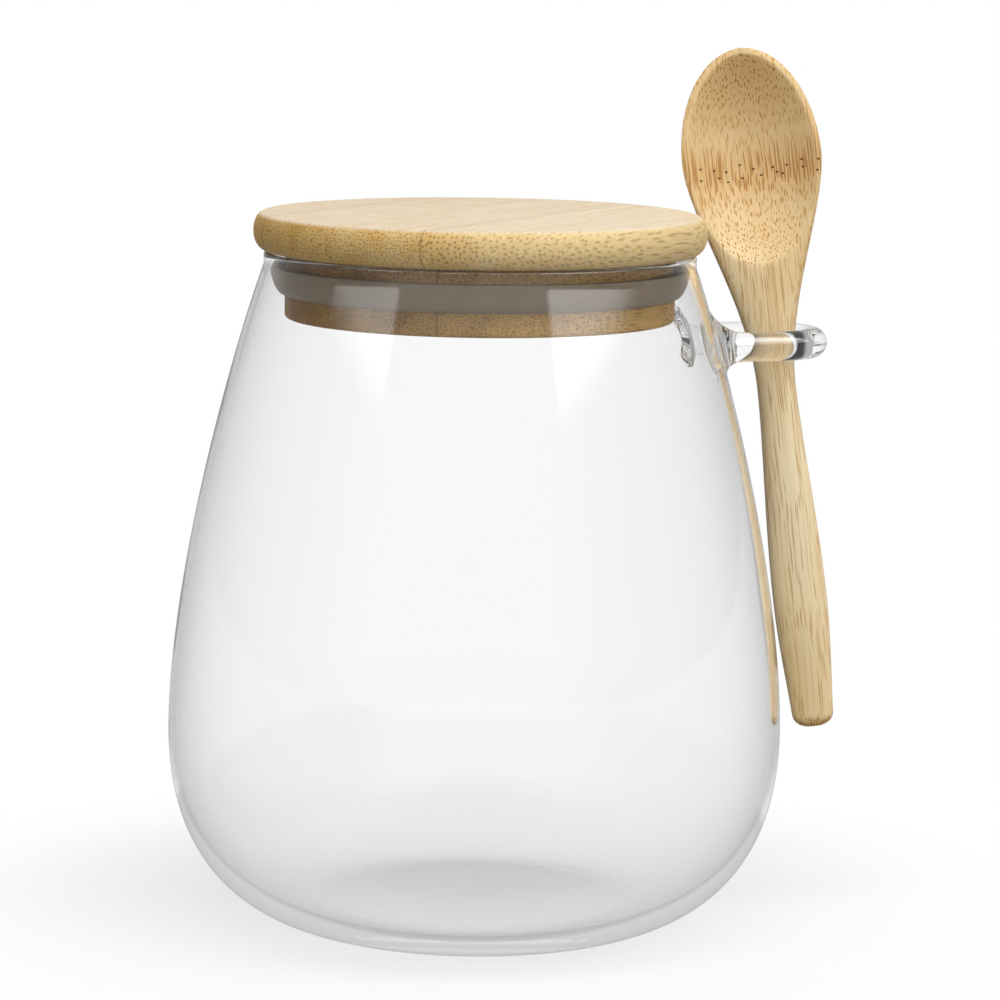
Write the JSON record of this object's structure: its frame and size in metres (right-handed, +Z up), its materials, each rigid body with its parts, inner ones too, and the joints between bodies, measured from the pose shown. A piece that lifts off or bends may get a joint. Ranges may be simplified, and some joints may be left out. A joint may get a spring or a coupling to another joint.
{
  "type": "glass storage jar",
  "caption": "Rounded clear glass storage jar with a plugged bamboo lid, a silicone seal, and a glass side loop that holds a bamboo spoon.",
  "frame": {"origin": "on the jar's axis, on the surface that it stands on", "axes": "+Z up along the jar's axis; -Y towards the viewer of the picture; the loop and spoon are on the +X side"},
  "size_m": [0.1364, 0.125, 0.1774],
  "materials": {
    "clear_glass": "clear, fire polished",
    "lid_bamboo": "sanded and oiled bamboo",
    "plug_bamboo": "turned bamboo",
    "silicone": "moulded translucent silicone",
    "spoon_bamboo": "carved and oiled bamboo"
  },
  "bodies": {
    "jar": {"glass_jar": "clear_glass", "spoon_loop": "clear_glass"},
    "lid": {"lid_board": "lid_bamboo", "lid_plug": "plug_bamboo", "lid_seal": "silicone"},
    "spoon": {"spoon": "spoon_bamboo"}
  },
  "joints": [
    {"name": "lid_lift", "type": "slide", "parent": "jar", "child": "lid", "axis": [0, 0, 1], "range_m": [0, 0.08]},
    {"name": "spoon_lift", "type": "slide", "parent": "jar", "child": "spoon", "axis": [-0.1451, 0.1908, 0.9708], "range_m": [0, 0.1]}
  ]
}
